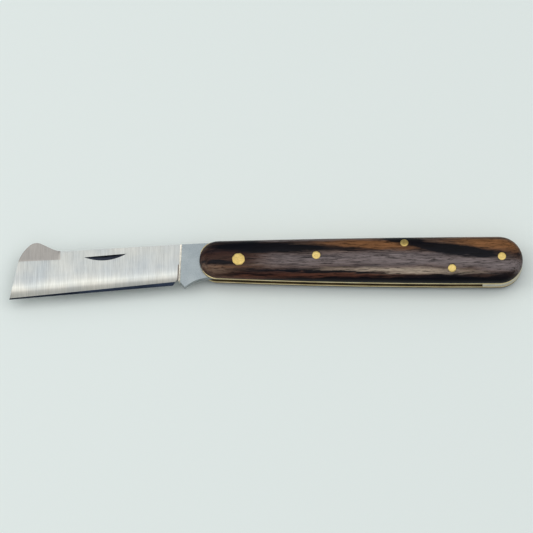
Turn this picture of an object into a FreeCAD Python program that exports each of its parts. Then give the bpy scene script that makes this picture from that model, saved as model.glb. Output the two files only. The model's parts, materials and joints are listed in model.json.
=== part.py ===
import FreeCAD, Part
import os

import Sketcher
from FreeCAD import Placement, Rotation, Vector

# A folding grafting knife with a slip joint, open, lying on its rear scale.
# +X runs to the butt, +Y to the spine of the blade, +Z out of the front scale, and the origin is on
# the flat of the rear scale, half way along the handle. Every profile is drawn in the plane of the
# knife about the axis of the pivot pin, and the bodies' placements carry it to its place in the handle.

SIZES = (
    # name, millimetres or degrees, what it measures
    ("pivot_place", -40.0, "pivot axis, from the origin"),
    ("scale_thick", 3.9, "wooden scale"),
    ("shoulder", 3.4, "radius that rounds the outer edge of a scale"),
    ("liner_thick", 1.0, "brass liner"),
    ("slot_width", 2.6, "blade slot between the liners, and the spring that fills it"),
    ("blade_thick", 2.45, "tang and ricasso"),
    ("spring_level", 4.5, "inner face of the spring, above the pivot axis"),
    ("joint_gap", 0.05, "play between the blade and the spring"),
    ("pivot_play", 0.04, "radial play of the tang on the pivot pin"),
    ("blade_travel", 169.0, "angle from open to shut"),
    ("cam_reach", 2.0, "how far each flat of the tang runs past the pivot"),
    ("flat_reach", 2.6, "how far the shut flat runs towards the kick"),
    ("kick_radius", 19.16, "point of the kick, from the pivot axis"),
    ("edge_slope", 4.86, "angle of the cutting edge to the handle"),
    ("edge_level", -5.254, "cutting edge, from the pivot axis, square to the edge"),
    ("plunge", -19.6, "plunge line, from the pivot axis, along the edge"),
    ("grind_low", -5.8, "lower side of the wedge that is ground away"),
    ("grind_high", 13.3, "upper side of the wedge that is ground away"),
    ("grind_thin", 0.25, "half thickness left at the lower side"),
    ("grind_thick", 1.3, "half thickness left at the upper side"),
    ("bevel_top", -4.42, "upper side of the edge bevel"),
    ("bevel_half", 0.35, "half thickness at the upper side of the edge bevel"),
    ("edge_half", 0.03, "half thickness of the cutting edge itself"),
    ("grind_run", 60.0, "length of every grind, which runs out beyond the tip"),
    ("lifter_x", -58.0, "step where the bark lifter begins"),
    ("lifter_low", 1.2, "lower side of the lifter facet"),
    ("lifter_high", 8.0, "upper side of the lifter facet"),
    ("lifter_thick", 0.95, "half thickness at the lower side of the facet"),
    ("lifter_thin", 0.48, "half thickness at the upper side of the facet"),
    ("nick_x", -42.3, "middle of the nail nick, along the edge"),
    ("nick_top", 6.65, "straight upper wall of the nail nick"),
    ("nick_floor", 0.33, "deepest point of the nick, above the middle of the blade"),
    ("nick_rise", 2.0, "height of the profile of the nick's cutter"),
    ("nick_run", 6.0, "width of the profile of the nick's cutter"),
    ("nick_cutter", 38.8, "radius of the wheel that cuts the nick"),
    ("back_radius", 4000.0, "the gentle curve of the handle's back"),
    ("belly_radius", 1950.0, "the gentle curve of the handle's belly"),
    ("handle_middle", 38.6, "a place half way along the handle, from the pivot axis"),
    ("nose_root", -6.7, "where the curve of the handle's nose begins"),
    ("liner_root", -7.6, "where the curve of a liner's nose begins"),
    ("spring_tip", -8.35, "free end of the spring"),
    ("bar_end", 22.0, "end of the straight bar of the spring, past the kick's resting place"),
    ("tail_face", 79.2, "end of the blade well, where the tail of the spring closes it"),
    ("tail_top", -0.2, "upper end of that face"),
    ("pivot_shank", 1.5, "radius of the pivot pin"),
    ("pivot_head", 2.07, "radius of the pivot pin's heads"),
    ("pin_shank", 1.0, "radius of the small pins"),
    ("pin_head", 1.35, "radius of the small pins' heads"),
    ("head_depth", 1.4, "straight part of a head"),
    ("head_cone", 0.7, "conical part of a head"),
    ("rivet_foot", 1.25, "radius of a scale rivet where it is peened in the liner"),
    ("foot_cone", 0.35, "conical part of that foot"),
    ("beyond", 1.6, "half thickness that every cut in the blade clears"),
)

POINTS = (
    # name, X and Y from the pivot axis
    ("top_rear", 84.5, 8.1),
    ("butt", 92.3, 0.3),
    ("bottom_rear", 84.5, -7.5),
    ("nose", -12.7, 0.78),
    ("liner_top_corner", -11.15, 5.45),
    ("liner_nose", -12.95, 0.8),
    ("liner_bottom_corner", -11.15, -3.85),
    ("spring_bar_waist", 34.0, 4.9),
    ("spring_bar_rear", 46.5, 4.5),
    ("spring_eye", 53.8, 3.1),
    ("spring_throat_fore", 61.0, 4.5),
    ("spring_throat", 68.5, 4.7),
    ("spring_throat_rear", 75.4, 3.6),
    ("tail_corner", 78.1, 2.5),
    ("pivot", 0.0, 0.0),
    ("fore_pin", 25.2, 1.25),
    ("centre_pin", 53.8, 5.45),
    ("aft_pin", 69.2, -3.35),
    ("end_pin", 85.4, 0.6),
    ("step_top", -8.4, 7.02),
    ("spine_middle", -32.0, 5.85),
    ("spine_fore", -54.5, 4.47),
    ("lifter_hollow", -58.2, 4.7),
    ("lifter_rise", -61.6, 5.95),
    ("lifter_crest", -65.4, 7.48),
    ("lifter_brow", -68.9, 5.5),
    ("front_curve", -70.6, 2.6),
    ("front_top", -71.75, -0.4),
    ("tip", -74.4, -11.598),
    ("heel", -21.4, -7.09),
    ("notch", -19.95, -5.1),
    ("choil_middle", -13.7, -5.6),
    ("choil_rear", -9.6, -4.72),
)

H_AXIS = -1
V_AXIS = -2

FRONT_FACE = "2 * dims.scale_thick + 2 * dims.liner_thick + dims.slot_width"
SLOT_FLOOR = "dims.scale_thick + dims.liner_thick"
SLOT_TOP = "dims.scale_thick + dims.liner_thick + dims.slot_width"
MIDDLE = "dims.scale_thick + dims.liner_thick + dims.slot_width / 2"

TANGENT = "tangent"


def on_back(along):
    """A point of the handle's back, which is level where it meets the butt."""
    run = f"({along} - dims.top_rear_x)"
    return (along, f"dims.top_rear_y - dims.back_radius + sqrt(dims.back_radius^2 - {run}^2)")


def on_belly(along):
    run = f"({along} - dims.bottom_rear_x)"
    return (along, f"dims.bottom_rear_y + dims.belly_radius - sqrt(dims.belly_radius^2 - {run}^2)")


BACK = on_back("dims.handle_middle")
BELLY = on_belly("dims.handle_middle")

HANDLE_FORM = (
    (on_back("dims.nose_root"), BACK, TANGENT),
    ("top_rear", "butt"),
    ("bottom_rear", BELLY),
    (on_belly("dims.nose_root"), "nose", TANGENT),
)

LINER_FORM = (
    (on_back("dims.liner_root"), BACK),
    ("top_rear", "butt"),
    ("bottom_rear", BELLY),
    (on_belly("dims.liner_root"), "liner_bottom_corner"),
    ("liner_nose", "liner_top_corner"),
)

SPRING_FORM = (
    (on_back("dims.spring_tip"), BACK),
    ("top_rear", "butt"),
    ("bottom_rear", None),
    (on_belly("dims.tail_face"), None),
    (("dims.tail_face", "dims.tail_top"), "tail_corner"),
    ("spring_throat_rear", "spring_throat"),
    ("spring_throat_fore", "spring_eye"),
    ("spring_bar_rear", "spring_bar_waist"),
    (("dims.bar_end", "dims.spring_level"), None),
    (("dims.spring_tip", "dims.spring_level"), None),
)

doc = FreeCAD.newDocument("grafting_knife")
sheet = doc.addObject("Spreadsheet::Sheet", "dims")


def fill_sheet():
    cells = list(SIZES)
    for name, across, up in POINTS:
        cells.append((f"{name}_x", across, f"{name}, along the handle"))
        cells.append((f"{name}_y", up, f"{name}, towards the spine"))
    for row, (alias, value, meaning) in enumerate(cells, start=1):
        sheet.set(f"A{row}", meaning)
        sheet.set(f"B{row}", str(value))
        sheet.setAlias(f"B{row}", alias)
    doc.recompute()


# ---- drawing ----

def place_of(point):
    """The two expressions of a point, which is a name in POINTS or a pair of expressions."""
    if isinstance(point, tuple):
        return point
    return (f"dims.{point}_x", f"dims.{point}_y")


def spot(point):
    across, up = place_of(point)
    return Vector(float(sheet.evalExpression(across)), float(sheet.evalExpression(up)), 0)


def lock(sketch, geometry, end, point):
    """Bind one point of the sketch to its two expressions."""
    for kind, expression, axis in zip(("DistanceX", "DistanceY"), place_of(point), (V_AXIS, H_AXIS)):
        if expression == "0":
            sketch.addConstraint(Sketcher.Constraint("PointOnObject", geometry, end, axis))
            continue
        value = float(sheet.evalExpression(expression))
        index = sketch.addConstraint(Sketcher.Constraint(kind, -1, 1, geometry, end, value))
        sketch.setExpression(f"Constraints[{index}]", expression)


def end_at(sketch, geometry, place):
    return 1 if sketch.getPoint(geometry, 1).isEqual(place, 1e-6) else 2


def draw_outline(sketch, runs):
    """Draw a closed outline.

    A run goes from its own point to the next run's, in an arc if it has a middle point. A run marked
    as tangent finds its starting point from the run before it.
    """
    first = sketch.GeometryCount
    for index, (start, middle, *_) in enumerate(runs):
        finish = runs[(index + 1) % len(runs)][0]
        if middle is None:
            sketch.addGeometry(Part.LineSegment(spot(start), spot(finish)))
        else:
            sketch.addGeometry(Part.Arc(spot(start), spot(middle), spot(finish)))
    for index, (start, middle, *joint) in enumerate(runs):
        edge = first + index
        previous = first + (index - 1) % len(runs)
        near = end_at(sketch, edge, spot(start))
        far = end_at(sketch, previous, spot(start))
        if TANGENT in joint:
            sketch.addConstraint(Sketcher.Constraint("Tangent", edge, near, previous, far))
        else:
            sketch.addConstraint(Sketcher.Constraint("Coincident", edge, near, previous, far))
            lock(sketch, edge, near, start)
        if middle is not None:
            mark = sketch.addGeometry(Part.Point(spot(middle)), True)
            sketch.addConstraint(Sketcher.Constraint("PointOnObject", mark, 1, edge))
            lock(sketch, mark, 1, middle)


def draw_circle(sketch, centre, radius):
    value = float(sheet.evalExpression(radius))
    circle = sketch.addGeometry(Part.Circle(spot(centre), Vector(0, 0, 1), value))
    if centre == "pivot":
        sketch.addConstraint(Sketcher.Constraint("Coincident", circle, 3, -1, 1))
    else:
        lock(sketch, circle, 3, centre)
    index = sketch.addConstraint(Sketcher.Constraint("Radius", circle, value))
    sketch.setExpression(f"Constraints[{index}]", radius)


# ---- bodies and their features ----

def new_body(name, level, at="pivot"):
    """A body whose own origin stands over a point of the knife, at a height above the rest face."""
    body = doc.addObject("PartDesign::Body", name)
    across, up = place_of(at)
    body.setExpression("Placement.Base.x", f"dims.pivot_place + {across}")
    body.setExpression("Placement.Base.y", up)
    body.setExpression("Placement.Base.z", level)
    return body


def new_sketch(body, name, role="XY_Plane"):
    plane = next(feature for feature in body.Origin.OriginFeatures if feature.Role == role)
    sketch = body.newObject("Sketcher::SketchObject", f"{body.Name}_{name}")
    sketch.AttachmentSupport = [(plane, "")]
    sketch.MapMode = "FlatFace"
    return sketch


def pad(body, sketch, length, side="One side"):
    feature = body.newObject("PartDesign::Pad", f"{sketch.Name}_pad")
    feature.Profile = sketch
    feature.SideType = side
    feature.setExpression("Length", length)
    doc.recompute()
    return feature


def check_cut(body, volume_before, name):
    if not body.Shape.Volume < volume_before - 1e-3:
        raise RuntimeError(f"{name} removed nothing")


def pierce(body, name, holes):
    """Cut round holes, given as centre and radius, right through a body."""
    sketch = new_sketch(body, name)
    for centre, radius in holes:
        draw_circle(sketch, centre, radius)
    before = body.Shape.Volume
    feature = body.newObject("PartDesign::Pocket", f"{sketch.Name}_pocket")
    feature.Profile = sketch
    feature.Type = "ThroughAll"
    feature.SideType = "Symmetric"
    doc.recompute()
    check_cut(body, before, feature.Name)


def section_sketch(body, name, along, turn, height="0"):
    """A sketch on a cross-section of the blade: X is towards the spine, Y is through the thickness."""
    sketch = new_sketch(body, name, "YZ_Plane")
    angle = float(sheet.evalExpression(turn))
    sketch.AttachmentOffset = Placement(Vector(0, 0, 0), Rotation(Vector(0, 1, 0), angle))
    sketch.setExpression("AttachmentOffset.Rotation.Angle", f"{turn} * 1deg")
    sketch.setExpression("AttachmentOffset.Base.x", f"{along} * sin({turn} * 1deg)")
    sketch.setExpression("AttachmentOffset.Base.y", height)
    sketch.setExpression("AttachmentOffset.Base.z", f"{along} * cos({turn} * 1deg)")
    return sketch


def grind(body, name, along, turn, corners):
    """Grind the same flat on both sides of the blade, from a cross-section to beyond the tip."""
    sketch = section_sketch(body, name, along, turn)
    for side in ("", "-"):
        draw_outline(sketch, [((across, f"{side}({through})"), None) for across, through in corners])
    before = body.Shape.Volume
    feature = body.newObject("PartDesign::Pocket", f"{sketch.Name}_pocket")
    feature.Profile = sketch
    feature.setExpression("Length", "dims.grind_run")
    doc.recompute()
    check_cut(body, before, feature.Name)


# ---- the blade ----

def tang_outline():
    """The blade and tang, from the step that meets the spring, round the cam, kick and edge."""
    flat = "(dims.spring_level - dims.joint_gap)"
    cam = f"sqrt({flat}^2 + dims.cam_reach^2)"
    turned = "((90 - dims.blade_travel) * 1deg)"
    halfway = "((90 - dims.blade_travel / 2) * 1deg)"
    shut_angle = f"(asin({flat} / dims.kick_radius) - dims.blade_travel * 1deg)"
    step_bottom = ("dims.step_top_x", flat)
    open_flat_end = ("dims.cam_reach", flat)
    cam_middle = (f"{cam} * cos{halfway}", f"{cam} * sin{halfway}")
    shut_flat_rear = (
        f"{flat} * cos{turned} - dims.cam_reach * sin{turned}",
        f"{flat} * sin{turned} + dims.cam_reach * cos{turned}",
    )
    shut_flat_fore = (
        f"{flat} * cos{turned} + dims.flat_reach * sin{turned}",
        f"{flat} * sin{turned} - dims.flat_reach * cos{turned}",
    )
    kick = (f"dims.kick_radius * cos{shut_angle}", f"dims.kick_radius * sin{shut_angle}")
    return (
        ("step_top", None),
        (step_bottom, None),
        (open_flat_end, cam_middle),
        (shut_flat_rear, None),
        (shut_flat_fore, None),
        ("choil_rear", "choil_middle"),
        (kick, None),
        ("notch", None),
        ("heel", None),
        ("tip", None),
        ("front_top", "front_curve"),
        ("lifter_brow", "lifter_crest"),
        ("lifter_rise", "lifter_hollow"),
        ("spine_fore", "spine_middle"),
    )


def make_blade():
    """One piece of steel: full thickness at the tang, ground on both sides from the plunge line."""
    body = new_body("blade", MIDDLE)
    profile = new_sketch(body, "profile")
    draw_outline(profile, tang_outline())
    pad(body, profile, "dims.blade_thick", "Symmetric")
    pierce(body, "pivot_hole", [("pivot", "dims.pivot_shank + dims.pivot_play")])
    wedge = (
        ("dims.grind_low", "dims.grind_thin"),
        ("dims.grind_high", "dims.grind_thick"),
        ("dims.grind_high", "dims.beyond"),
        ("dims.grind_low", "dims.beyond"),
    )
    grind(body, "wedge", "dims.plunge", "dims.edge_slope", wedge)
    bevel = (
        ("dims.edge_level", "dims.edge_half"),
        ("dims.bevel_top", "dims.bevel_half"),
        ("dims.grind_low", "dims.beyond"),
    )
    grind(body, "bevel", "dims.plunge", "dims.edge_slope", bevel)
    facet = (
        ("dims.lifter_low", "dims.lifter_thick"),
        ("dims.lifter_high", "dims.lifter_thin"),
        ("dims.lifter_high", "dims.beyond"),
        ("dims.lifter_low", "dims.beyond"),
    )
    grind(body, "lifter", "dims.lifter_x", "0", facet)
    cut_nail_nick(body)
    return body


def cut_nail_nick(body):
    """A wheel with a slanting rim leaves a straight upper wall and a floor that runs out at both ends."""
    height = "dims.nick_cutter + dims.nick_floor"
    sketch = section_sketch(body, "nick", "dims.nick_x", "dims.edge_slope", height)
    rim = "-dims.nick_cutter"
    draw_outline(sketch, (
        (("dims.nick_top", rim), None),
        (("dims.nick_top", f"{rim} + dims.nick_rise"), None),
        (("dims.nick_top - dims.nick_run", f"{rim} + dims.nick_rise"), None),
    ))
    before = body.Shape.Volume
    feature = body.newObject("PartDesign::Groove", "nail_nick")
    feature.Profile = sketch
    feature.ReferenceAxis = (sketch, ["H_Axis"])
    feature.Angle = 360
    doc.recompute()
    check_cut(body, before, feature.Name)


# ---- the spring and the liners ----

def make_backspring():
    """The spring lies between the liners: its bar presses on the tang, its tail fills the butt."""
    body = new_body("backspring", SLOT_FLOOR)
    profile = new_sketch(body, "profile")
    draw_outline(profile, SPRING_FORM)
    pad(body, profile, "dims.slot_width")
    pierce(body, "pin_holes", [(pin, "dims.pin_shank") for pin in ("centre_pin", "end_pin")])
    return body


def make_liner(name, level):
    body = new_body(name, level)
    profile = new_sketch(body, "profile")
    draw_outline(profile, LINER_FORM)
    pad(body, profile, "dims.liner_thick")
    holes = [("pivot", "dims.pivot_shank")]
    holes += [(pin, "dims.pin_shank") for pin in ("centre_pin", "end_pin")]
    pierce(body, "pin_holes", holes)
    return body


# ---- the pins and the scales ----

def rounded_form(name, level, thickness, rounded_levels):
    """A slab of the handle's outline with the edges at some of its own levels rounded over."""
    body = new_body(name, level)
    profile = new_sketch(body, "profile")
    draw_outline(profile, HANDLE_FORM)
    slab = pad(body, profile, thickness)
    edges = []
    for index, edge in enumerate(slab.Shape.Edges, start=1):
        box = edge.BoundBox
        flat = box.ZLength < 1e-6
        if flat and any(abs(box.ZMin - float(sheet.evalExpression(z))) < 1e-6 for z in rounded_levels):
            edges.append(f"Edge{index}")
    rounding = body.newObject("PartDesign::Fillet", f"{name}_shoulder")
    rounding.Base = (slab, edges)
    rounding.setExpression("Radius", "dims.shoulder")
    doc.recompute()
    return body


def turned_blank(name, at, half_profile):
    """A pin before its ends are filed flush: a half profile turned about the pin's own axis."""
    body = new_body(name, "0", at)
    sketch = new_sketch(body, "half", "XZ_Plane")
    draw_outline(sketch, [(corner, None) for corner in half_profile])
    turning = body.newObject("PartDesign::Revolution", f"{name}_turning")
    turning.Profile = sketch
    turning.ReferenceAxis = (sketch, ["V_Axis"])
    turning.Angle = 360
    doc.recompute()
    return body


def through_pin_profile(shank, head):
    """Headed at both faces of the handle."""
    top = FRONT_FACE
    return (
        ("0", "0"),
        (head, "0"),
        (head, "dims.head_depth"),
        (shank, "dims.head_depth + dims.head_cone"),
        (shank, f"{top} - dims.head_depth - dims.head_cone"),
        (head, f"{top} - dims.head_depth"),
        (head, top),
        ("0", top),
    )


def scale_pin_profile(front):
    """Headed in the wood and peened in the inner face of the liner."""
    face = FRONT_FACE if front else "0"
    foot = SLOT_TOP if front else SLOT_FLOOR
    inward = "-" if front else "+"
    outward = "+" if front else "-"
    return (
        ("0", face),
        ("dims.pin_head", face),
        ("dims.pin_head", f"{face} {inward} dims.head_depth"),
        ("dims.pin_shank", f"{face} {inward} dims.head_depth {inward} dims.head_cone"),
        ("dims.pin_shank", f"{foot} {outward} dims.foot_cone"),
        ("dims.rivet_foot", foot),
        ("0", foot),
    )


def boolean(kind, name, base, tool):
    feature = doc.addObject(kind, name)
    feature.Base = base
    feature.Tool = tool
    doc.recompute()
    return feature


def cut_for_pins(name, blank, pins):
    """Drill one piece for the pins that pass through it."""
    bundle = doc.addObject("Part::MultiFuse", f"{name}_pins")
    bundle.Shapes = pins
    return boolean("Part::Cut", name, blank, bundle)


def make_pins(handle_form):
    """Blanks by name, and the same pins filed flush with the rounded handle."""
    blanks = {
        "pivot_pin": turned_blank(
            "pivot_blank", "pivot", through_pin_profile("dims.pivot_shank", "dims.pivot_head")),
        "spring_centre_pin": turned_blank(
            "centre_blank", "centre_pin", through_pin_profile("dims.pin_shank", "dims.pin_head")),
        "spring_end_pin": turned_blank(
            "end_blank", "end_pin", through_pin_profile("dims.pin_shank", "dims.pin_head")),
    }
    for side in ("front", "rear"):
        for place in ("fore", "aft"):
            blanks[f"{side}_scale_pin_{place}"] = turned_blank(
                f"{side}_{place}_blank", f"{place}_pin", scale_pin_profile(side == "front"))
    pins = {
        name: boolean("Part::Common", name, blank, handle_form)
        for name, blank in blanks.items()
    }
    return blanks, pins


def make_sides(blanks):
    """The liner and scale of each side, drilled for the pins."""
    pieces = {}
    levels = {
        "front": (SLOT_TOP, f"{SLOT_TOP} + dims.liner_thick", "dims.scale_thick"),
        "rear": ("dims.scale_thick", "0", "0"),
    }
    for side, (liner_level, scale_level, rounded) in levels.items():
        own_pins = [blanks[f"{side}_scale_pin_{place}"] for place in ("fore", "aft")]
        through = [blanks[name] for name in ("pivot_pin", "spring_centre_pin", "spring_end_pin")]
        liner = make_liner(f"{side}_liner_blank", liner_level)
        pieces[f"{side}_liner"] = cut_for_pins(f"{side}_liner", liner, own_pins)
        scale = rounded_form(f"{side}_scale_blank", scale_level, "dims.scale_thick", [rounded])
        pieces[f"{side}_scale"] = cut_for_pins(f"{side}_scale", scale, through + own_pins)
    return pieces


def check_and_write(pieces):
    for item in doc.Objects:
        if "Invalid" in item.State or "Error" in item.State:
            raise RuntimeError(f"{item.Label} failed: {item.State}")
    for name, piece in pieces.items():
        shape = piece.Shape
        if shape.isNull() or not shape.isValid() or len(shape.Solids) != 1:
            raise RuntimeError(f"{name} is not one valid solid")
    os.makedirs("parts", exist_ok=True)
    for name, piece in pieces.items():
        piece.Label = name
        piece.Shape.exportStep(f"parts/{name}.step")


fill_sheet()
handle_form = rounded_form("handle_form", "0", FRONT_FACE, ["0", FRONT_FACE])
blanks, pins = make_pins(handle_form)
pieces = {"blade": make_blade(), "backspring": make_backspring()}
pieces.update(make_sides(blanks))
pieces.update(pins)
check_and_write(pieces)
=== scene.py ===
import json
import math

import bmesh
import bpy
from mathutils import Matrix, Vector
from mathutils.bvhtree import BVHTree

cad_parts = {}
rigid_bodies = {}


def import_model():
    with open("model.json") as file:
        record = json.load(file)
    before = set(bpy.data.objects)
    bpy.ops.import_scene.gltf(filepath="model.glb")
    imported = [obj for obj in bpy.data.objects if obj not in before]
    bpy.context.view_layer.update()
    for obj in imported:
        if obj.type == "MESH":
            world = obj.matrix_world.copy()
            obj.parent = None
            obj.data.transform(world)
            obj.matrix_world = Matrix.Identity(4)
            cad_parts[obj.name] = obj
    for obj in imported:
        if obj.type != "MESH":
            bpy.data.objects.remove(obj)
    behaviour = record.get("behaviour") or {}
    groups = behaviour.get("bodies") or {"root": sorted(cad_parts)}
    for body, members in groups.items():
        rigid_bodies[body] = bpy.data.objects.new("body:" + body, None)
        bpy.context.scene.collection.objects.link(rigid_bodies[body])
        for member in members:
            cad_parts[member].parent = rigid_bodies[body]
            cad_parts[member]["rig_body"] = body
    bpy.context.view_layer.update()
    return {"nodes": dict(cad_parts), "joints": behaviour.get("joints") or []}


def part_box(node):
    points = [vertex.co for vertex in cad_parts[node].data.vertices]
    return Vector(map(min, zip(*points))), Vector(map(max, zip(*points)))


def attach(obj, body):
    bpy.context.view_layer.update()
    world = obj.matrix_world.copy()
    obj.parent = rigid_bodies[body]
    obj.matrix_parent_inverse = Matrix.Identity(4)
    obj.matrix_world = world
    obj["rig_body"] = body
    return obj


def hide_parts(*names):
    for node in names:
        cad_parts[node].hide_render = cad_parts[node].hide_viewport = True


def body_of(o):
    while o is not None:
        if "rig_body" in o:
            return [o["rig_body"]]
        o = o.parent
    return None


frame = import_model()

# ---- The two liners ----
# Thin brass plates, blanked to the outline of the handle and drilled for the pins. Their noses are
# squarer than the wood's, so a rim of brass shows at the corners. A file breaks their edges.

MM = 0.001
pivot_axis = Vector(frame["joints"][0]["pos_m"])
rear_liner_low, rear_liner_high = (corner.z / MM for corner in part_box("rear_liner"))
front_liner_low, front_liner_high = (corner.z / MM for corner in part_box("front_liner"))
handle_low, handle_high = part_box("front_scale")
top_of_knife = handle_high.z / MM
butt_radius = (handle_high.y - handle_low.y) / 2 / MM
butt_middle_y = (handle_high.y + handle_low.y) / 2 / MM
butt_x = (handle_high.x - pivot_axis.x) / MM
butt_centre_x = butt_x - butt_radius
nose_x = (handle_low.x - pivot_axis.x) / MM
nose_root_x = nose_x + 6.0
nose_middle_y = 0.78
handle_middle_x = 38.6
back_radius = 4000.0
belly_radius = 1950.0


def on_back(x):
    return (x, butt_middle_y + butt_radius - (x - butt_centre_x) ** 2 / (2 * back_radius))


def on_belly(x):
    return (x, butt_middle_y - butt_radius + (x - butt_centre_x) ** 2 / (2 * belly_radius))


def arc_through(start, via, end):
    """Centre and signed angle of the arc that runs from start over via to end."""
    (ax, ay), (bx, by), (cx, cy) = start, via, end
    d = 2 * (ax * (by - cy) + bx * (cy - ay) + cx * (ay - by))
    a, b, c = ax * ax + ay * ay, bx * bx + by * by, cx * cx + cy * cy
    centre = Vector(((a * (by - cy) + b * (cy - ay) + c * (ay - by)) / d,
                     (a * (cx - bx) + b * (ax - cx) + c * (bx - ax)) / d, 0))
    turn = math.atan2(cy - centre.y, cx - centre.x) - math.atan2(ay - centre.y, ax - centre.x)
    clockwise = d < 0
    if clockwise and turn > 0:
        turn -= 2 * math.pi
    if not clockwise and turn < 0:
        turn += 2 * math.pi
    return centre, turn


def trace(bm, runs, spacing=0.5):
    """Draw a closed outline from its corners. A run with a second point is swept as an arc over it."""
    corners = [bm.verts.new((*start, 0)) for start, _ in runs]
    for index, (start, via) in enumerate(runs):
        end = corners[(index + 1) % len(runs)]
        if via is None:
            bm.edges.new((corners[index], end))
            continue
        centre, turn = arc_through(start, via, end.co[:2])
        length = abs(turn) * (corners[index].co - centre).length
        steps = max(6, min(round(length / spacing), round(abs(turn) / math.radians(2.5))))
        swept = bmesh.ops.spin(
            bm, geom=[corners[index]], cent=centre, axis=(0, 0, 1), angle=turn, steps=steps)
        last = next(item for item in swept["geom_last"] if isinstance(item, bmesh.types.BMVert))
        last.co = end.co
    bmesh.ops.remove_doubles(bm, verts=bm.verts, dist=1e-4)


def drill(bm, places):
    """Add the circles of the holes, given as centre and radius, to a flat outline."""
    for (x, y), radius in places:
        at = Matrix.Translation((x, y, 0))
        bmesh.ops.create_circle(bm, segments=32, radius=radius, matrix=at)


def thicken(bm, low, high):
    """Fill a flat outline, leaving its holes open, and extrude it between two heights."""
    bmesh.ops.triangle_fill(bm, edges=bm.edges, use_beauty=True, use_dissolve=False)
    bmesh.ops.translate(bm, verts=bm.verts, vec=(0, 0, low))
    grown = bmesh.ops.extrude_face_region(bm, geom=bm.faces[:], use_keep_orig=True)
    raised = [item for item in grown["geom"] if isinstance(item, bmesh.types.BMVert)]
    bmesh.ops.translate(bm, verts=raised, vec=(0, 0, high - low))
    bmesh.ops.recalc_face_normals(bm, faces=bm.faces)


def break_edges(bm, width, segments=2, sharper=50):
    """Round over every edge that turns by more than an angle."""
    sharp = [edge for edge in bm.edges
             if len(edge.link_faces) == 2 and edge.calc_face_angle() > math.radians(sharper)]
    bmesh.ops.bevel(bm, geom=sharp, offset=width, affect="EDGES", segments=segments, profile=0.5,
                    material=-1, clamp_overlap=True)


def shade(mesh, smooth_below):
    mesh.shade_smooth()
    mesh.set_sharp_from_angle(angle=math.radians(smooth_below))


def finish_piece(bm, name, node, materials, smooth_below=35):
    """Put a piece drawn in millimetres about the pivot in its place, and let it stand for its CAD node."""
    place = Matrix.Translation((pivot_axis.x, pivot_axis.y, 0)) @ Matrix.Scale(MM, 4)
    bmesh.ops.transform(bm, matrix=place, verts=bm.verts)
    mesh = bpy.data.meshes.new(name)
    bm.to_mesh(mesh)
    bm.free()
    for material in materials:
        mesh.materials.append(material)
    shade(mesh, smooth_below)
    piece = bpy.data.objects.new(name, mesh)
    bpy.context.scene.collection.objects.link(piece)
    if node:
        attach(piece, body_of(frame["nodes"][node])[0])
        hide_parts(node)
    return piece


def new_material(name, **values):
    """A material with its plain values set on the shader's own sockets."""
    material = bpy.data.materials.new(name)
    material.use_nodes = True
    shader = material.node_tree.nodes["Principled BSDF"]
    for socket, value in values.items():
        shader.inputs[socket.replace("_", " ")].default_value = value
    return material, material.node_tree, shader


def add_noise(tree, stretch, scale, detail=4, roughness=0.55, turn=(0, 0, 0), shift=(0, 0, 0)):
    """Noise on the object's own coordinates in metres, stretched along chosen axes."""
    coordinates = tree.nodes.new("ShaderNodeTexCoord")
    mapping = tree.nodes.new("ShaderNodeMapping")
    mapping.inputs["Scale"].default_value = stretch
    mapping.inputs["Rotation"].default_value = turn
    mapping.inputs["Location"].default_value = shift
    noise = tree.nodes.new("ShaderNodeTexNoise")
    noise.inputs["Scale"].default_value = scale
    noise.inputs["Detail"].default_value = detail
    noise.inputs["Roughness"].default_value = roughness
    tree.links.new(coordinates.outputs["Object"], mapping.inputs["Vector"])
    tree.links.new(mapping.outputs["Vector"], noise.inputs["Vector"])
    return noise.outputs["Fac"]


def add_ramp(tree, source, *stops):
    """Colours along a value. Each stop is a position and a colour or a grey level."""
    ramp = tree.nodes.new("ShaderNodeValToRGB")
    elements = ramp.color_ramp.elements
    while len(elements) < len(stops):
        elements.new(0.5)
    for element, (position, colour) in zip(elements, stops):
        element.position = position
        element.color = (*colour, 1) if isinstance(colour, tuple) else (colour, colour, colour, 1)
    tree.links.new(source, ramp.inputs["Fac"])
    return ramp.outputs["Color"]


def add_mix(tree, factor, first, second, blend="MIX"):
    """Mix two colours. The factor is a number or a socket."""
    mix = tree.nodes.new("ShaderNodeMix")
    mix.data_type = "RGBA"
    mix.blend_type = blend
    sockets = [mix.inputs[0], mix.inputs[6], mix.inputs[7]]
    for socket, value in zip(sockets, (factor, first, second)):
        if isinstance(value, bpy.types.NodeSocket):
            tree.links.new(value, socket)
        elif isinstance(value, tuple):
            socket.default_value = (*value, 1)
        else:
            socket.default_value = value
    return mix.outputs[2]


def add_bump(tree, shader, height, strength, distance):
    bump = tree.nodes.new("ShaderNodeBump")
    bump.inputs["Strength"].default_value = strength
    bump.inputs["Distance"].default_value = distance
    tree.links.new(height, bump.inputs["Height"])
    tree.links.new(bump.outputs["Normal"], shader.inputs["Normal"])


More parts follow.
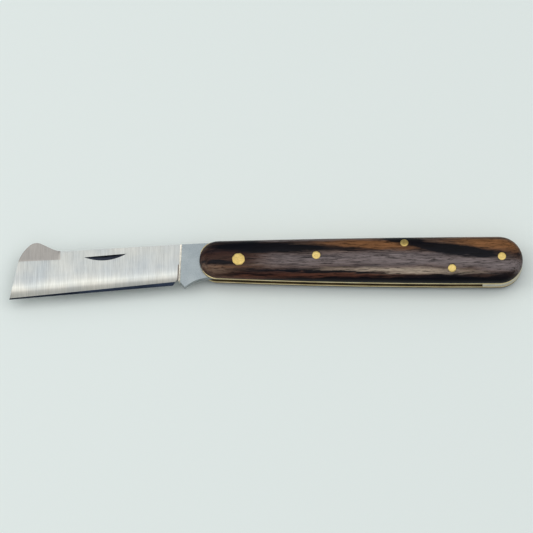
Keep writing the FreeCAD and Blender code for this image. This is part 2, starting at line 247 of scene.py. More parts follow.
def brushed_metal(name, bright, dull, roughness, stretch, scale, turn=(0, 0, 0), depth=0.000004,
                  coarse=0.0, low=0.80):
    """Metal with fine scratches along one direction, and a slow change of tone over it."""
    material, tree, shader = new_material(name, Metallic=1.0)
    scratches = add_noise(tree, stretch, scale, detail=6, roughness=0.7, turn=turn)
    patches = add_noise(tree, (1, 1, 1), 120, detail=3, shift=(0.3, 0.1, 0))
    colour = add_ramp(tree, patches, (0.35, dull), (0.68, bright))
    lines = add_ramp(tree, scratches, (0.3, low), (0.7, 1.0))
    colour = add_mix(tree, 1.0, colour, lines, "MULTIPLY")
    if coarse:
        wide = tuple(part / 2.4 for part in stretch)
        wheel_marks = add_noise(tree, wide, scale, detail=2, roughness=0.6, turn=turn, shift=(0.2, 0, 0))
        marks = add_ramp(tree, wheel_marks, (0.35, 1 - coarse), (0.65, 1.0))
        colour = add_mix(tree, 1.0, colour, marks, "MULTIPLY")
    tree.links.new(colour, shader.inputs["Base Color"])
    rough = add_ramp(tree, scratches, (0.25, roughness * 0.8), (0.75, roughness * 1.25))
    tree.links.new(rough, shader.inputs["Roughness"])
    add_bump(tree, shader, scratches, 0.6, depth)
    return material


liner_brass = brushed_metal(
    "liner_brass", (0.93, 0.78, 0.43), (0.72, 0.53, 0.22), 0.30, (1, 14, 14), 180)

# Painted shade: the liners' inner faces, toward the blade well, are coloured dark brass, so the slot between
# the liners shows dark.
inner_brass_painted_shade = brushed_metal(
    "inner_brass_painted_shade", (0.16, 0.11, 0.05), (0.06, 0.045, 0.03), 0.5, (1, 1, 1), 300)

pin_places = {
    "pivot": (0.0, 0.0),
    "centre": (53.8, 5.45),
    "end": (85.4, 0.6),
    "fore": (25.2, 1.25),
    "aft": (69.2, -3.35),
}
pin_shank = 1.0
liner_nose_back = 0.35
liner_root_x = nose_root_x - 0.9
liner_corner_x = nose_x + 1.55
hole_radii = {"pivot": 1.5, "centre": 1.0, "end": 1.0, "fore": 1.25, "aft": 1.25}
liner_holes = [(place, hole_radii[name]) for name, place in pin_places.items()]

liner_levels = (("rear", rear_liner_low, rear_liner_high), ("front", front_liner_low, front_liner_high))
for side, low, high in liner_levels:
    bm = bmesh.new()
    trace(bm, (
        (on_back(liner_root_x), on_back(handle_middle_x)),
        (on_back(butt_centre_x), (butt_x, butt_middle_y)),
        (on_belly(butt_centre_x), on_belly(handle_middle_x)),
        (on_belly(liner_root_x), (liner_corner_x + 0.30, nose_middle_y - 4.48)),
        ((nose_x + liner_nose_back, nose_middle_y), (liner_corner_x + 0.05, nose_middle_y + 4.70)),
    ))
    drill(bm, liner_holes)
    thicken(bm, low, high)
    break_edges(bm, 0.10)
    # The faces toward the blade well take the dark brass of painted shade.
    inward = -1 if side == "front" else 1
    for face in bm.faces:
        if face.normal.z * inward > 0.9:
            face.material_index = 1
    finish_piece(bm, f"{side}_liner_plate", f"{side}_liner", [liner_brass, inner_brass_painted_shade])

# ---- The backspring ----
# One bar of spring steel between the liners. Its nose presses on the flats of the tang, the middle is
# pinned through a boss, and the broad tail fills the butt. The back is ground flush with the liners.

spring_steel = brushed_metal(
    "spring_steel", (0.74, 0.69, 0.59), (0.56, 0.51, 0.42), 0.34, (14, 1, 1), 160)

spring_low, spring_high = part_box("backspring")
spring_tip_x = (spring_low.x - pivot_axis.x) / MM
spring_level = 4.5
tail_face_x = 79.2

bm = bmesh.new()
trace(bm, (
    (on_back(spring_tip_x), on_back(handle_middle_x)),
    (on_back(butt_centre_x), (butt_x, butt_middle_y)),
    (on_belly(butt_centre_x), None),
    (on_belly(tail_face_x), None),
    ((tail_face_x, -0.2), (78.1, 2.5)),
    ((75.4, 3.6), (68.5, 4.7)),
    ((61.0, spring_level), (53.8, 3.1)),
    ((46.5, spring_level), (34.0, 4.9)),
    ((22.0, spring_level), None),
    ((spring_tip_x, spring_level), None),
))
drill(bm, [(pin_places["centre"], pin_shank), (pin_places["end"], pin_shank)])
thicken(bm, spring_low.z / MM + 0.004, spring_high.z / MM - 0.004)
break_edges(bm, 0.07)
finish_piece(bm, "spring_bar", "backspring", [spring_steel])

# ---- The blade ----
# Forged from one piece of tool steel: a flat tang and ricasso of full thickness, then a blade ground to
# a wedge on both sides by a wheel that ran across it, a bark lifter ground thinner at the back of the
# tip, and a narrow honed bevel along the edge. The nick for the thumb nail is cut in the front only.

blade_middle_z = (spring_low.z + spring_high.z) / 2 / MM
tang_half = 1.225
flat_level = spring_level - 0.05
cam_reach = 2.0
travel = math.radians(frame["joints"][0]["range_deg"][1])
cam_radius = math.hypot(flat_level, cam_reach)
shut_normal = Vector((math.cos(math.pi / 2 - travel), math.sin(math.pi / 2 - travel)))
shut_along = Vector((shut_normal.y, -shut_normal.x))
shut_flat_rear = tuple(flat_level * shut_normal - cam_reach * shut_along)
shut_flat_fore = tuple(flat_level * shut_normal + 2.6 * shut_along)
cam_middle_angle = math.pi / 2 - travel / 2
cam_middle = (cam_radius * math.cos(cam_middle_angle), cam_radius * math.sin(cam_middle_angle))
kick_radius = 19.16
kick_angle = math.asin(flat_level / kick_radius) - travel
kick = (kick_radius * math.cos(kick_angle), kick_radius * math.sin(kick_angle))
heel = (-21.4, -7.09)
tip = (-74.4, -11.598)
spine_end = (-8.4, 7.02)
edge_slope = math.radians(4.86)
edge_level = -5.254


def along_edge(x, y):
    """A point of the blade as its distances along the cutting edge and square to it."""
    return (x * math.cos(edge_slope) + y * math.sin(edge_slope),
            y * math.cos(edge_slope) - x * math.sin(edge_slope))


heel_run = along_edge(*heel)[0]
tip_run = along_edge(*tip)[0]
plunge_width = 1.1
plunge_run = -20.65
plunge_lean = 0.135
bevel_at_heel = 1.15
bevel_at_tip = 0.40
lifter_step_x = -57.9
step_blend = 0.8
wedge_foot = -5.8
wedge_thick = 0.25
wedge_slope = 0.05497
hollow_top = -1.6
hollow_curve = 0.0075
facet_foot = 1.2
facet_thick = 0.95
facet_slope = 0.0485
edge_half = 0.03
plunge_curve = 2.2


def bevel_width(run):
    share = (run - tip_run) / (heel_run - tip_run)
    return bevel_at_tip + (bevel_at_heel - bevel_at_tip) * max(0.0, min(1.0, share))


def past_plunge(run, across):
    """Distance behind the line where the grinding wheel stopped, which leans back towards the spine."""
    return (run - plunge_run - plunge_lean * (across - edge_level)) / math.hypot(1, plunge_lean)


def ground_wedge(across):
    """Half the thickness that the wheel leaves, at a distance square to the edge. It's hollowed low down."""
    hollow = max(0.0, hollow_top - across)
    return wedge_thick + wedge_slope * (across - wedge_foot) - hollow_curve * hollow ** 2


def lifter_facet(y):
    """Half the thickness that the facet of the bark lifter leaves."""
    return facet_thick - facet_slope * (y - facet_foot)


def facet_depth(x, y):
    """How far the facet of the bark lifter lies below the wedge. It's negative where there is no facet."""
    return ground_wedge(along_edge(x, y)[1]) - lifter_facet(y)


def half_thickness(x, y):
    """Half the thickness of the blade at a point of its outline."""
    run, across = along_edge(x, y)
    half = ground_wedge(across)
    thinned = max(0.0, min(1.0, (lifter_step_x - x) / step_blend))
    half += (min(half, lifter_facet(y)) - half) * thinned
    width = bevel_width(run)
    if across < edge_level + width:
        shoulder = ground_wedge(edge_level + width)
        half = edge_half + (shoulder - edge_half) * max(0.0, across - edge_level) / width
    rise = max(0.0, min(1.0, past_plunge(run, across) / plunge_width))
    return half + (tang_half - half) * rise ** plunge_curve


bm = bmesh.new()
trace(bm, (
    (spine_end, None),
    ((spine_end[0], flat_level), None),
    ((cam_reach, flat_level), cam_middle),
    (shut_flat_rear, None),
    (shut_flat_fore, None),
    ((-9.6, -4.72), (-13.7, -5.6)),
    (kick, None),
    ((-19.95, -5.1), None),
    (heel, None),
    (tip, None),
    ((-71.9, -0.4), (-70.0, 4.2)),
    ((-67.5, 6.85), (-65.72, 7.43)),
    ((-63.9, 6.97), None),
    ((-60.8, 5.42), (-58.4, 4.58)),
    ((-55.8, 4.40), (-32.0, 5.85)),
), spacing=0.35)
bmesh.ops.contextual_create(bm, geom=bm.edges)


def slice_blade(at, normal):
    bmesh.ops.bisect_plane(bm, geom=bm.verts[:] + bm.edges[:] + bm.faces[:], dist=1e-5,
                           plane_co=(*at, 0), plane_no=(*normal, 0))


across_edge = (-math.sin(edge_slope), math.cos(edge_slope))
down_edge = (math.cos(edge_slope), math.sin(edge_slope))
bevel_start = Vector((*tip, 0)) + Vector((*across_edge, 0)) * bevel_at_tip
bevel_end = Vector((*heel, 0)) + Vector((*across_edge, 0)) * bevel_at_heel
bevel_run = (bevel_end - bevel_start).normalized()
slice_blade(bevel_start[:2], (-bevel_run.y, bevel_run.x))
slice_blade((lifter_step_x, 0), (1, 0))
slice_blade((lifter_step_x - step_blend, 0), (1, 0))
crease = Vector((-71.5, 1.03)) - Vector((-58.0, 1.64))
slice_blade((-58.0, 1.64), (-crease.y, crease.x))
station = tip_run + 0.7
while station < -21.8:
    slice_blade((station * down_edge[0], station * down_edge[1]), down_edge)
    station += 1.1
lean = Vector((1, -plunge_lean)).normalized()
lean_normal = (
    lean.x * down_edge[0] + lean.y * across_edge[0],
    lean.x * down_edge[1] + lean.y * across_edge[1])
foot = Vector(down_edge) * plunge_run + Vector(across_edge) * edge_level
for step in range(12):
    slice_blade(foot + Vector(lean_normal) * plunge_width * step / 11, lean_normal)
level = edge_level + 1.5
while level < 13:
    slice_blade((level * across_edge[0], level * across_edge[1]), across_edge)
    level += 0.75

grown = bmesh.ops.extrude_face_region(bm, geom=bm.faces[:], use_keep_orig=True)
front_verts = {item for item in grown["geom"] if isinstance(item, bmesh.types.BMVert)}
for vert in bm.verts:
    half = half_thickness(vert.co.x, vert.co.y)
    vert.co.z = blade_middle_z + (half if vert in front_verts else -half)
bmesh.ops.recalc_face_normals(bm, faces=bm.faces)


def is_rim(edge):
    """Outline edges, other than those of the cutting edge, are broken with a stone."""
    if len(edge.link_faces) != 2 or edge.calc_face_angle() < math.radians(55):
        return False
    walls = [face for face in edge.link_faces if abs(face.normal.z) < 0.5]
    middle = (edge.verts[0].co + edge.verts[1].co) / 2
    return len(walls) == 1 and half_thickness(middle.x, middle.y) > 0.33


bmesh.ops.bevel(bm, geom=[edge for edge in bm.edges if is_rim(edge)], offset=0.10, affect="EDGES",
                segments=2, profile=0.5, material=-1, clamp_overlap=True)

# Faces take the blade's painted tones on one steel: the ricasso and tang darker, the honed bevel near-black,
# the upper plunge rise bright and its foot dark, and the lifter facet darker. All are painted shade, except
# the bright plunge rise, which is a painted highlight.
for face in bm.faces:
    spot = face.calc_center_median()
    run, across = along_edge(spot.x, spot.y)
    behind = past_plunge(run, across) / plunge_width
    if behind > 1:
        face.material_index = 1
    elif across < edge_level + bevel_width(run) and abs(face.normal.z) > 0.5 and behind < 0:
        face.material_index = 2
    elif behind > 0.45:
        face.material_index = 4
    elif behind > 0.1 and across < 1.5:
        face.material_index = 5
    elif spot.x < lifter_step_x and facet_depth(spot.x, spot.y) > 0:
        face.material_index = 6


def painted_edge_shading(material, *stops):
    """Painted shade and highlight in bands that run along the cutting edge, at distances above it in
    millimetres.
    """
    tree = material.node_tree
    shader = tree.nodes["Principled BSDF"]
    plain = shader.inputs["Base Color"].links[0].from_socket
    coordinates = tree.nodes.new("ShaderNodeTexCoord")
    mapping = tree.nodes.new("ShaderNodeMapping")
    mapping.vector_type = "TEXTURE"
    mapping.inputs["Location"].default_value = (
        pivot_axis.x - math.sin(edge_slope) * edge_level * MM,
        pivot_axis.y + math.cos(edge_slope) * edge_level * MM, 0)
    mapping.inputs["Rotation"].default_value = (0, 0, edge_slope)
    mapping.inputs["Scale"].default_value = (1, 12 * MM, 1)
    parts = tree.nodes.new("ShaderNodeSeparateXYZ")
    tree.links.new(coordinates.outputs["Object"], mapping.inputs["Vector"])
    tree.links.new(mapping.outputs["Vector"], parts.inputs["Vector"])
    tint = add_ramp(tree, parts.outputs["Y"], *((height / 12, tone) for height, tone in stops))
    tree.links.new(add_mix(tree, 1.0, plain, tint, "MULTIPLY"), shader.inputs["Base Color"])


ground_steel = brushed_metal(
    "ground_steel", (0.66, 0.66, 0.625), (0.545, 0.57, 0.575), 0.32, (30, 1.2, 1), 210, depth=0.000006,
    coarse=0.16, low=0.72)
# Painted shade and highlight on the ground faces: a dark band just above the bevel, a bright band about 4 mm
# above the edge, and an even tone from 6.6 mm up.
painted_edge_shading(
    ground_steel, (1.3, (0.44, 0.43, 0.40)), (2.1, (0.56, 0.54, 0.50)), (2.8, (0.86, 0.83, 0.77)),
    (3.8, (1.0, 0.985, 0.93)), (5.2, (0.80, 0.80, 0.785)), (6.6, (0.71, 0.72, 0.72)),
    (12.0, (0.72, 0.72, 0.70)))
# Painted shade: the ricasso and tang are the blade's steel, coloured a much darker blue-grey than the ground
# faces.
ricasso_steel_painted_shade = brushed_metal(
    "ricasso_steel_painted_shade", (0.285, 0.315, 0.32), (0.225, 0.255, 0.265), 0.28, (4, 9, 1), 120, depth=0.000003)
# Painted shade: the honed bevel is coloured near-black navy, a painted reflection of dark surroundings, so
# it stays dark from any side.
honed_steel_painted_shade = brushed_metal(
    "honed_steel_painted_shade", (0.022, 0.030, 0.048), (0.010, 0.014, 0.024), 0.24, (9, 2, 1), 260, depth=0.000002)
# Painted shade: the inside of the nail nick is coloured dark navy.
nick_steel_painted_shade = brushed_metal(
    "nick_steel_painted_shade", (0.10, 0.11, 0.15), (0.03, 0.035, 0.05), 0.38, (6, 6, 6), 160)
# Painted highlight and shade at the plunge: a bright cream tone on the upper part of its rise, and a dark
# brown tone at its foot.
plunge_steel_painted_highlight = brushed_metal(
    "plunge_steel_painted_highlight", (0.98, 0.93, 0.80), (0.85, 0.79, 0.68), 0.38, (4, 9, 1), 120)
plunge_shade = brushed_metal(
    "plunge_shade", (0.20, 0.17, 0.14), (0.12, 0.10, 0.09), 0.34, (4, 9, 1), 120)
# Painted shade: the bark lifter's facet is coloured a darker greyish beige than the ground faces.
lifter_steel_painted_shade = brushed_metal(
    "lifter_steel_painted_shade", (0.40, 0.375, 0.34), (0.34, 0.32, 0.295), 0.34, (26, 1.2, 1), 210, coarse=0.10)

blade_piece = finish_piece(
    bm, "ground_blade", "blade",
    [ground_steel, ricasso_steel_painted_shade, honed_steel_painted_shade, nick_steel_painted_shade, plunge_steel_painted_highlight, plunge_shade, lifter_steel_painted_shade],
    smooth_below=14)


def cut_out(piece, bm_cutter, material, smooth_below):
    """Cut a closed shape, drawn in millimetres about the pivot, out of a finished piece."""
    cutter = finish_piece(bm_cutter, "cutter", None, [material])
    cutting = piece.modifiers.new("cut", "BOOLEAN")
    cutting.operation = "DIFFERENCE"
    cutting.solver = "EXACT"
    cutting.object = cutter
    cutting.material_mode = "TRANSFER"
    graph = bpy.context.evaluated_depsgraph_get()
    finished = bpy.data.meshes.new_from_object(piece.evaluated_get(graph))
    piece.modifiers.clear()
    shade(finished, smooth_below)
    piece.data = finished
    bpy.data.objects.remove(cutter)


bm = bmesh.new()
bmesh.ops.create_cone(bm, cap_ends=True, segments=48, radius1=1.54, radius2=1.54, depth=6,
                      matrix=Matrix.Translation((0, 0, blade_middle_z)))
cut_out(blade_piece, bm, ricasso_steel_painted_shade, 14)

# The nick is cut by a thin wheel with a slanting rim, so that its upper wall is straight and its floor
# runs out at both ends.

nick_wheel = 38.8
nick_run = -42.9
nick_top = 6.65
nick_floor = 0.31
bm = bmesh.new()
rim = [bm.verts.new(corner) for corner in (
    (0, 0, -nick_wheel), (0, 0, 2 - nick_wheel), (0, -6.0, 2 - nick_wheel))]
rim_face = bm.faces.new(rim)
bmesh.ops.rotate(bm, verts=rim, cent=(0, 0, 0), matrix=Matrix.Rotation(math.radians(-16), 3, "Y"))
bmesh.ops.spin(bm, geom=[rim_face, *rim_face.edges, *rim], cent=(0, 0, 0), axis=(0, 1, 0),
               angle=math.radians(32), steps=64)
bmesh.ops.recalc_face_normals(bm, faces=bm.faces)
wheel_place = (
    Matrix.Rotation(edge_slope, 4, "Z")
    @ Matrix.Translation((nick_run, nick_top, blade_middle_z + nick_floor + nick_wheel)))
bmesh.ops.transform(bm, matrix=wheel_place, verts=bm.verts)
cut_out(blade_piece, bm, nick_steel_painted_shade, 12)

# ---- The two scales ----
# Dark walnut slabs, shaped to a full round at the shoulders and the nose, then oiled and polished. Their
# colour carries some painted sheen along the middle and painted shade along the lower edge. They are bored
# for the pins, and the bores are coloured near-black, which leaves a hair of painted shadow round the pin
# heads.

shoulder_width = 5.5
shoulder_power = 2.3
shoulder_steps = 14
scale_low, scale_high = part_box("rear_scale")
scale_thick = (scale_high.z - scale_low.z) / MM


def add_streak(tree, vector, centre, half_length, half_width, slope, solid=0.45):
    """A mask for one streak, of figure, painted sheen or painted shade, drawn in millimetres about the
    pivot.
    """
    mapping = tree.nodes.new("ShaderNodeMapping")
    mapping.vector_type = "TEXTURE"
    mapping.inputs["Location"].default_value = (
        pivot_axis.x + centre[0] * MM, pivot_axis.y + centre[1] * MM, 0)
    mapping.inputs["Rotation"].default_value = (0, 0, math.radians(slope))
    mapping.inputs["Scale"].default_value = (half_length * MM, half_width * MM, 1)
    distance = tree.nodes.new("ShaderNodeVectorMath")
    distance.operation = "LENGTH"
    tree.links.new(vector, mapping.inputs["Vector"])
    tree.links.new(mapping.outputs["Vector"], distance.inputs[0])
    return add_ramp(tree, distance.outputs["Value"], (solid, 1.0), (1.0, 0.0))


def warp_coordinates(tree, along, across):
    """The object's coordinates, pushed about by slow noise so that streaks waver and fray."""
    coordinates = tree.nodes.new("ShaderNodeTexCoord")
    mapping = tree.nodes.new("ShaderNodeMapping")
    mapping.inputs["Scale"].default_value = (1.0, 7.0, 7.0)
    noise = tree.nodes.new("ShaderNodeTexNoise")
    noise.inputs["Scale"].default_value = 130
    noise.inputs["Detail"].default_value = 6
    noise.inputs["Roughness"].default_value = 0.62
    centred = tree.nodes.new("ShaderNodeVectorMath")
    centred.operation = "SUBTRACT"
    centred.inputs[1].default_value = (0.5, 0.5, 0.5)
    sized = tree.nodes.new("ShaderNodeVectorMath")
    sized.operation = "MULTIPLY"
    sized.inputs[1].default_value = (along * MM, across * MM, 0)
    moved = tree.nodes.new("ShaderNodeVectorMath")
    moved.operation = "ADD"
    tree.links.new(coordinates.outputs["Object"], mapping.inputs["Vector"])
    tree.links.new(mapping.outputs["Vector"], noise.inputs["Vector"])
    tree.links.new(noise.outputs["Color"], centred.inputs[0])
    tree.links.new(centred.outputs["Vector"], sized.inputs[0])
    tree.links.new(coordinates.outputs["Object"], moved.inputs[0])
    tree.links.new(sized.outputs["Vector"], moved.inputs[1])
    return moved.outputs["Vector"]


def add_wood():
    material, tree, shader = new_material("oiled_walnut", Roughness=0.36)
    shader.inputs["Specular IOR Level"].default_value = 0.09
    vector = warp_coordinates(tree, 14, 2.6)
    figure = add_noise(tree, (1.0, 11.0, 11.0), 30, detail=6, roughness=0.6, turn=(0, 0, math.radians(2)))
    colour = add_ramp(
        tree, figure,
        (0.34, (0.012, 0.010, 0.014)), (0.44, (0.040, 0.022, 0.018)), (0.52, (0.080, 0.045, 0.032)),
        (0.60, (0.125, 0.078, 0.055)), (0.70, (0.175, 0.115, 0.080)))
    taupe_and_sheen, tan = (0.212, 0.173, 0.168), (0.400, 0.320, 0.245)
    orange, red = (0.230, 0.100, 0.038), (0.095, 0.034, 0.020)
    brown, navy_figure_and_shade = (0.036, 0.014, 0.010), (0.0006, 0.0012, 0.004)
    # Most streaks are the figure of the wood. Some paint light: the taupe ones along the middle are figure
    # with painted sheen, the thin taupe one along the top edge is a painted highlight, and the navy ones
    # along the lower edge are painted shade. The brown and navy patches at the nose make it darker.
    streaks = (
        ((50, -0.2), 48, 3.6, -1, taupe_and_sheen, 0.85, 0.3),
        ((19, -0.8), 18, 3.0, -1, taupe_and_sheen, 0.60, 0.4),
        ((87, -2.6), 14, 2.6, 3, taupe_and_sheen, 0.85, 0.3),
        ((52, -4.1), 32, 1.4, -1, tan, 0.90, 0.3),
        ((14, 7.2), 46, 1.1, 0, taupe_and_sheen, 0.60, 0.5),
        ((76, -1.2), 17, 2.2, 1, taupe_and_sheen, 0.75, 0.2),
        ((44, 4.9), 24, 2.4, -1, orange, 0.90, 0.4),
        ((82, 4.9), 17, 3.0, -5, orange, 0.95, 0.4),
        ((20, -5.4), 44, 1.5, 0, red, 0.85, 0.4),
        ((-3, -2.6), 10, 0.8, 0, orange, 0.35, 0.3),
        ((-4, 0.6), 13, 3.4, 0, brown, 0.92, 0.5),
        ((10, 4.0), 27, 2.5, -1, navy_figure_and_shade, 0.97, 0.6),
        ((36, 3.3), 16, 0.8, -3, navy_figure_and_shade, 0.85, 0.3),
        ((-7, -0.8), 7, 0.9, 0, navy_figure_and_shade, 0.90, 0.5),
        ((54, 6.6), 10, 1.7, -7, navy_figure_and_shade, 0.95, 0.6),
        ((70, 2.9), 22, 2.5, -8, navy_figure_and_shade, 0.97, 0.6),
        ((30, 0.6), 20, 0.5, -2, navy_figure_and_shade, 0.50, 0.2),
        ((56, 1.4), 14, 0.5, -3, navy_figure_and_shade, 0.45, 0.2),
        ((26, -4.1), 34, 0.45, -2, navy_figure_and_shade, 0.95, 0.5),
        ((4, -4.9), 16, 0.5, -1, navy_figure_and_shade, 0.75, 0.3),
        ((40, -7.2), 75, 1.9, 0, navy_figure_and_shade, 0.95, 0.6),
        ((87, -5.9), 12, 1.3, 8, navy_figure_and_shade, 0.70, 0.4),
    )
    grain = add_noise(tree, (3.0, 30.0, 30.0), 55, detail=7, roughness=0.72)
    for centre, half_length, half_width, slope, tint, strength, solid in streaks:
        mask = add_streak(tree, vector, centre, half_length, half_width, slope, solid)
        strong = add_mix(tree, 1.0, mask, (strength,) * 3, "MULTIPLY")
        colour = add_mix(tree, strong, colour, tint)
    fine = add_ramp(tree, grain, (0.34, 0.30), (0.47, 0.85), (0.62, 1.15))
    colour = add_mix(tree, 1.0, colour, fine, "MULTIPLY")
    pores = add_noise(tree, (7.0, 90.0, 90.0), 40, detail=3, roughness=0.6, shift=(0.4, 0.1, 0))
    colour = add_mix(tree, 1.0, colour, add_ramp(tree, pores, (0.37, 0.25), (0.43, 1.0)), "MULTIPLY")
    tree.links.new(colour, shader.inputs["Base Color"])
    rough = add_ramp(tree, grain, (0.35, 0.50), (0.60, 0.34))
    tree.links.new(rough, shader.inputs["Roughness"])
    add_bump(tree, shader, grain, 0.5, 0.00005)
    return material


oiled_walnut = add_wood()


def shape_scale(bm):
    """Round the outer side of the slab over with a row of insets that follow its shoulder."""
    trace(bm, (
        (on_back(nose_root_x), on_back(handle_middle_x)),
        (on_back(butt_centre_x), (butt_x, butt_middle_y)),
        (on_belly(butt_centre_x), on_belly(handle_middle_x)),
        (on_belly(nose_root_x), (nose_x, nose_middle_y)),
    ), spacing=0.4)
    bmesh.ops.contextual_create(bm, geom=bm.edges)
    cap = bm.faces[:][0]
    if cap.normal.z < 0:
        bmesh.ops.reverse_faces(bm, faces=[cap])
    grown = bmesh.ops.extrude_face_region(bm, geom=[cap], use_keep_orig=True)
    top = next(item for item in grown["geom"] if isinstance(item, bmesh.types.BMFace))
    inset, height = 0.0, 0.0
    for step in range(1, shoulder_steps + 1):
        angle = math.pi / 2 * step / shoulder_steps
        next_inset = shoulder_width * (1 - math.cos(angle) ** (2 / shoulder_power))
        next_height = scale_thick * math.sin(angle) ** (2 / shoulder_power)
        bmesh.ops.inset_region(bm, faces=[top], thickness=next_inset - inset, depth=0,
                               use_even_offset=True, use_boundary=True)
        bmesh.ops.translate(bm, verts=top.verts, vec=(0, 0, next_height - height))
        inset, height = next_inset, next_height
    bmesh.ops.recalc_face_normals(bm, faces=bm.faces)


scale_pieces = {}
scale_surfaces = {}
for side in ("rear", "front"):
    bm = bmesh.new()
    shape_scale(bm)
    if side == "front":
        bmesh.ops.translate(bm, verts=bm.verts, vec=(0, 0, front_liner_high))
    else:
        bmesh.ops.scale(bm, verts=bm.verts, vec=(1, 1, -1))
        bmesh.ops.translate(bm, verts=bm.verts, vec=(0, 0, rear_liner_low))
        bmesh.ops.reverse_faces(bm, faces=bm.faces)
    scale_surfaces[side] = BVHTree.FromBMesh(bm)
    scale_pieces[side] = finish_piece(
        bm, f"{side}_walnut_scale", f"{side}_scale", [oiled_walnut], smooth_below=50)

# ---- The pins ----
# Brass wire: a thick one that the blade turns on, two that also hold the spring, and four short rivets
# that hold the scales to their liners. The ends are hammered out into the wood and filed to its shape.

pin_brass = brushed_metal(
    "pin_brass", (0.80, 0.62, 0.24), (0.64, 0.45, 0.14), 0.42, (1, 1, 1), 1300, depth=0.00006, low=0.55)

head_depth = 1.4
head_cone = 0.7
head_gap = 0.05
rivet_foot = 1.24
foot_cone = 0.35


def skin(side, x, y):
    """Height of the outer side of a scale."""
    start, way = ((x, y, 30), (0, 0, -1)) if side == "front" else ((x, y, -30), (0, 0, 1))
    hit = scale_surfaces[side].ray_cast(Vector(start), Vector(way))[0]
    return hit.z if hit else (top_of_knife if side == "front" else 0.0)


def next_ring(bm, cap, place, share, rise):
    """Extrude the end of a turned shape by a step, and scale it about its axis."""
    grown = bmesh.ops.extrude_face_region(bm, geom=[cap])
    bmesh.ops.delete(bm, geom=[cap], context="FACES_ONLY")
    cap = next(item for item in grown["geom"] if isinstance(item, bmesh.types.BMFace))
    bmesh.ops.scale(bm, verts=cap.verts, vec=(share, share, 1),
                    space=Matrix.Translation((-place[0], -place[1], 0)))
    bmesh.ops.translate(bm, verts=cap.verts, vec=(0, 0, rise))
    return cap


def turn_profile(bm, place, profile, segments):
    """A solid of stacked rings, each given as its height and radius. Its last face is returned."""
    (low, first), (_, second) = profile[:2]
    bmesh.ops.create_cone(bm, cap_ends=True, segments=segments, radius1=first, radius2=second,
                          depth=abs(profile[1][0] - low),
                          matrix=Matrix.Translation((*place, (low + profile[1][0]) / 2))
                          @ Matrix.Rotation(0 if profile[1][0] > low else math.pi, 4, "X"))
    upward = 1 if profile[1][0] > low else -1
    cap = max((face for face in bm.faces), key=lambda face: upward * face.calc_center_median().z)
    for (height, radius), (next_height, next_radius) in zip(profile[1:], profile[2:]):
        cap = next_ring(bm, cap, place, next_radius / radius, next_height - height)
    bmesh.ops.recalc_face_normals(bm, faces=bm.faces)
    return cap


def hammer_flats(bm, place, flats, share):
    """Draw a round shape part of the way to one with flats, as a hammered head has."""
    for vert in bm.verts:
        away = vert.co.xy - Vector(place)
        if away.length > 1e-6:
            around = (math.atan2(away.y, away.x) + 0.3) % (2 * math.pi / flats) - math.pi / flats
            flat = math.cos(math.pi / flats) / math.cos(around)
            vert.co.xy = Vector(place) + away * (1 + share * (flat - 1))


def crown_head(bm, cap, side, place, outward):
    """Close a head with a shallow dome, a filed rim and a dimple, laid on the skin of the scale."""
    share = 1.0
    for next_share, lift in ((0.95, 0.000), (0.80, 0.030), (0.52, 0.045), (0.40, 0.030), (0.20, 0.038)):
        cap = next_ring(bm, cap, place, next_share / share, 0)
        share = next_share
        for vert in cap.verts:
            vert.co.z = skin(side, vert.co.x, vert.co.y) + outward * (lift - 0.048)
    bmesh.ops.recalc_face_normals(bm, faces=bm.faces)


def rim_on_skin(cap, side, outward):
    for vert in cap.verts:
        vert.co.z = skin(side, vert.co.x, vert.co.y) - outward * 0.085


through_pins = (("pivot_pin", "pivot", 1.5, 2.12, 48), ("spring_centre_pin", "centre", 1.0, 1.35, 28),
                ("spring_end_pin", "end", 1.0, 1.35, 28))
rivets = (("front_scale_pin_fore", "front", "fore"), ("front_scale_pin_aft", "front", "aft"),
          ("rear_scale_pin_fore", "rear", "fore"), ("rear_scale_pin_aft", "rear", "aft"))


def head_foot(side, place, head):
    """The height on the rim of a head where the scale is thinnest."""
    ways = ((1, 0), (-1, 0), (0, 1), (0, -1))
    around = [skin(side, place[0] + x * head, place[1] + y * head) for x, y in ways]
    return min(around) if side == "front" else max(around)


def build_pin(name, place, shank, head, segments, sides):
    """Turn a pin, with a head in each scale that it reaches, and hammer it."""
    bm = bmesh.new()
    slack = 0.008
    deepest = {side: head_foot(side, place, head) for side in sides}
    if "rear" in sides and "front" in sides:
        profile = [(deepest["rear"] + 0.15, head), (deepest["rear"] + head_depth, head),
                   (deepest["rear"] + head_depth + head_cone, shank - slack),
                   (deepest["front"] - head_depth - head_cone, shank - slack),
                   (deepest["front"] - head_depth, head), (deepest["front"] - 0.15, head)]
    elif "front" in sides:
        profile = [(front_liner_low, rivet_foot), (front_liner_high, rivet_foot),
                   (front_liner_high + foot_cone, shank - slack),
                   (deepest["front"] - head_depth - 0.3, shank - slack),
                   (deepest["front"] - head_depth, head), (deepest["front"] - 0.15, head)]
    else:
        profile = [(rear_liner_high, rivet_foot), (rear_liner_low, rivet_foot),
                   (rear_liner_low - foot_cone, shank - slack),
                   (deepest["rear"] + head_depth + 0.3, shank - slack),
                   (deepest["rear"] + head_depth, head), (deepest["rear"] + 0.15, head)]
    cap = turn_profile(bm, place, profile, segments)
    last_side = "front" if "front" in sides else "rear"
    outward = 1 if last_side == "front" else -1
    rim_on_skin(cap, last_side, outward)
    crown_head(bm, cap, last_side, place, outward)
    if len(sides) == 2:
        foot = min(bm.faces, key=lambda face: face.calc_center_median().z)
        rim_on_skin(foot, "rear", -1)
        crown_head(bm, foot, "rear", place, -1)
    hammer_flats(bm, place, 8, 0.8 if head > 2 else 0.15)
    finish_piece(bm, f"{name}_wire", name, [pin_brass], smooth_below=40)


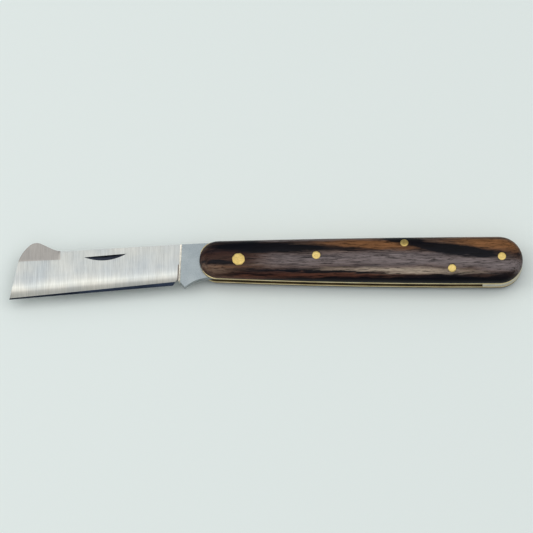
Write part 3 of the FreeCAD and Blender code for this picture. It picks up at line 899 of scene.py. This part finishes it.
def bore(side, place, shank, head, segments):
    """Cut the hole that a pin fills, a hair wider than the pin."""
    bm = bmesh.new()
    level = skin(side, *place)
    if side == "front":
        profile = [(front_liner_high - 1, shank + 0.004), (level - head_depth - 0.4, shank + 0.004),
                   (level - head_depth - 0.3, head + head_gap), (level + 2, head + head_gap)]
    else:
        profile = [(rear_liner_low + 1, shank + 0.004), (level + head_depth + 0.4, shank + 0.004),
                   (level + head_depth + 0.3, head + head_gap), (level - 2, head + head_gap)]
    turn_profile(bm, place, profile, segments)
    hammer_flats(bm, place, 8, 0.8 if head > 2 else 0.15)
    cut_out(scale_pieces[side], bm, bore_wall_painted_shade, 40)


# Painted shade: the walls of the bores are coloured near-black, so a hair of dark shows round each pin head.
bore_wall_painted_shade, bore_tree, bore_shader = new_material("bore_wall_painted_shade", Roughness=0.9)
bore_shade = add_ramp(
    bore_tree, add_noise(bore_tree, (1, 1, 1), 900),
    (0.3, (0.003, 0.002, 0.002)), (0.7, (0.012, 0.008, 0.006)))
bore_tree.links.new(bore_shade, bore_shader.inputs["Base Color"])

for side in ("rear", "front"):
    for name, key, shank, head, segments in through_pins:
        bore(side, pin_places[key], shank, head, segments)
    for key in ("fore", "aft"):
        bore(side, pin_places[key], 1.25, 1.35, 28)
for name, key, shank, head, segments in through_pins:
    build_pin(name, pin_places[key], shank, head, segments, ("rear", "front"))
for name, side, key in rivets:
    build_pin(name, pin_places[key], 1.0, 1.35, 28, (side,))

# ---- The floor, the light and the camera ----
# A pale matt table under a wide soft light overhead and a small one to the left. The camera has a long
# lens, and looks down from a little in front of straight above.

floor_bm = bmesh.new()
bmesh.ops.create_grid(floor_bm, x_segments=1, y_segments=1, size=3.0)
floor_mesh = bpy.data.meshes.new("floor")
floor_bm.to_mesh(floor_mesh)
floor_bm.free()
floor = bpy.data.objects.new("floor", floor_mesh)
bpy.context.scene.collection.objects.link(floor)
floor_material, _, floor_shader = new_material("pale_floor", Roughness=0.9)
floor_shader.inputs["Base Color"].default_value = (0.80, 0.85, 0.81, 1)
floor_mesh.materials.append(floor_material)

world = bpy.data.worlds.new("studio")
world.use_nodes = True
sky = world.node_tree
sky_direction = sky.nodes.new("ShaderNodeTexCoord")
sky_height = sky.nodes.new("ShaderNodeSeparateXYZ")
sky.links.new(sky_direction.outputs["Generated"], sky_height.inputs["Vector"])
sky_colour = add_ramp(
    sky, sky_height.outputs["Z"],
    (0.0, (0.10, 0.11, 0.12)), (0.45, (0.28, 0.30, 0.31)), (1.0, (0.93, 0.96, 1.0)))
sky.links.new(sky_colour, sky.nodes["Background"].inputs["Color"])
sky.nodes["Background"].inputs["Strength"].default_value = 1.0
bpy.context.scene.world = world


def softbox(name, place, aim, width, depth, power):
    light = bpy.data.lights.new(name, "AREA")
    light.shape = "RECTANGLE"
    light.size = width
    light.size_y = depth
    light.energy = power
    holder = bpy.data.objects.new(name, light)
    holder.location = place
    holder.rotation_euler = (Vector(aim) - Vector(place)).to_track_quat("-Z", "Y").to_euler()
    bpy.context.scene.collection.objects.link(holder)


softbox("overhead_softbox", (0.0, 0.2, 2.1), (0.0, 0.2, 0.0), 4.2, 1.3, 19)
softbox("left_softbox", (-1.2, -0.05, 0.40), (0.0, 0.0, 0.0), 0.5, 0.35, 3.6)

camera_tilt = math.radians(17.0)
camera_roll = math.radians(-0.264)
lens = 400.0
frame_width = 0.1727
camera_distance = frame_width * lens / 36.0
aim = Vector((pivot_axis.x + 0.00907, pivot_axis.y - 0.00239, handle_high.z - 0.0007))
camera = bpy.data.cameras.new("camera")
camera.lens = lens
camera_holder = bpy.data.objects.new("camera", camera)
camera_holder.location = aim + camera_distance * Vector((0, -math.sin(camera_tilt), math.cos(camera_tilt)))
camera_holder.rotation_euler = (
    Matrix.Rotation(camera_tilt, 3, "X") @ Matrix.Rotation(camera_roll, 3, "Z")).to_euler()
bpy.context.scene.collection.objects.link(camera_holder)
bpy.context.scene.camera = camera_holder
bpy.context.scene.view_settings.view_transform = "Standard"
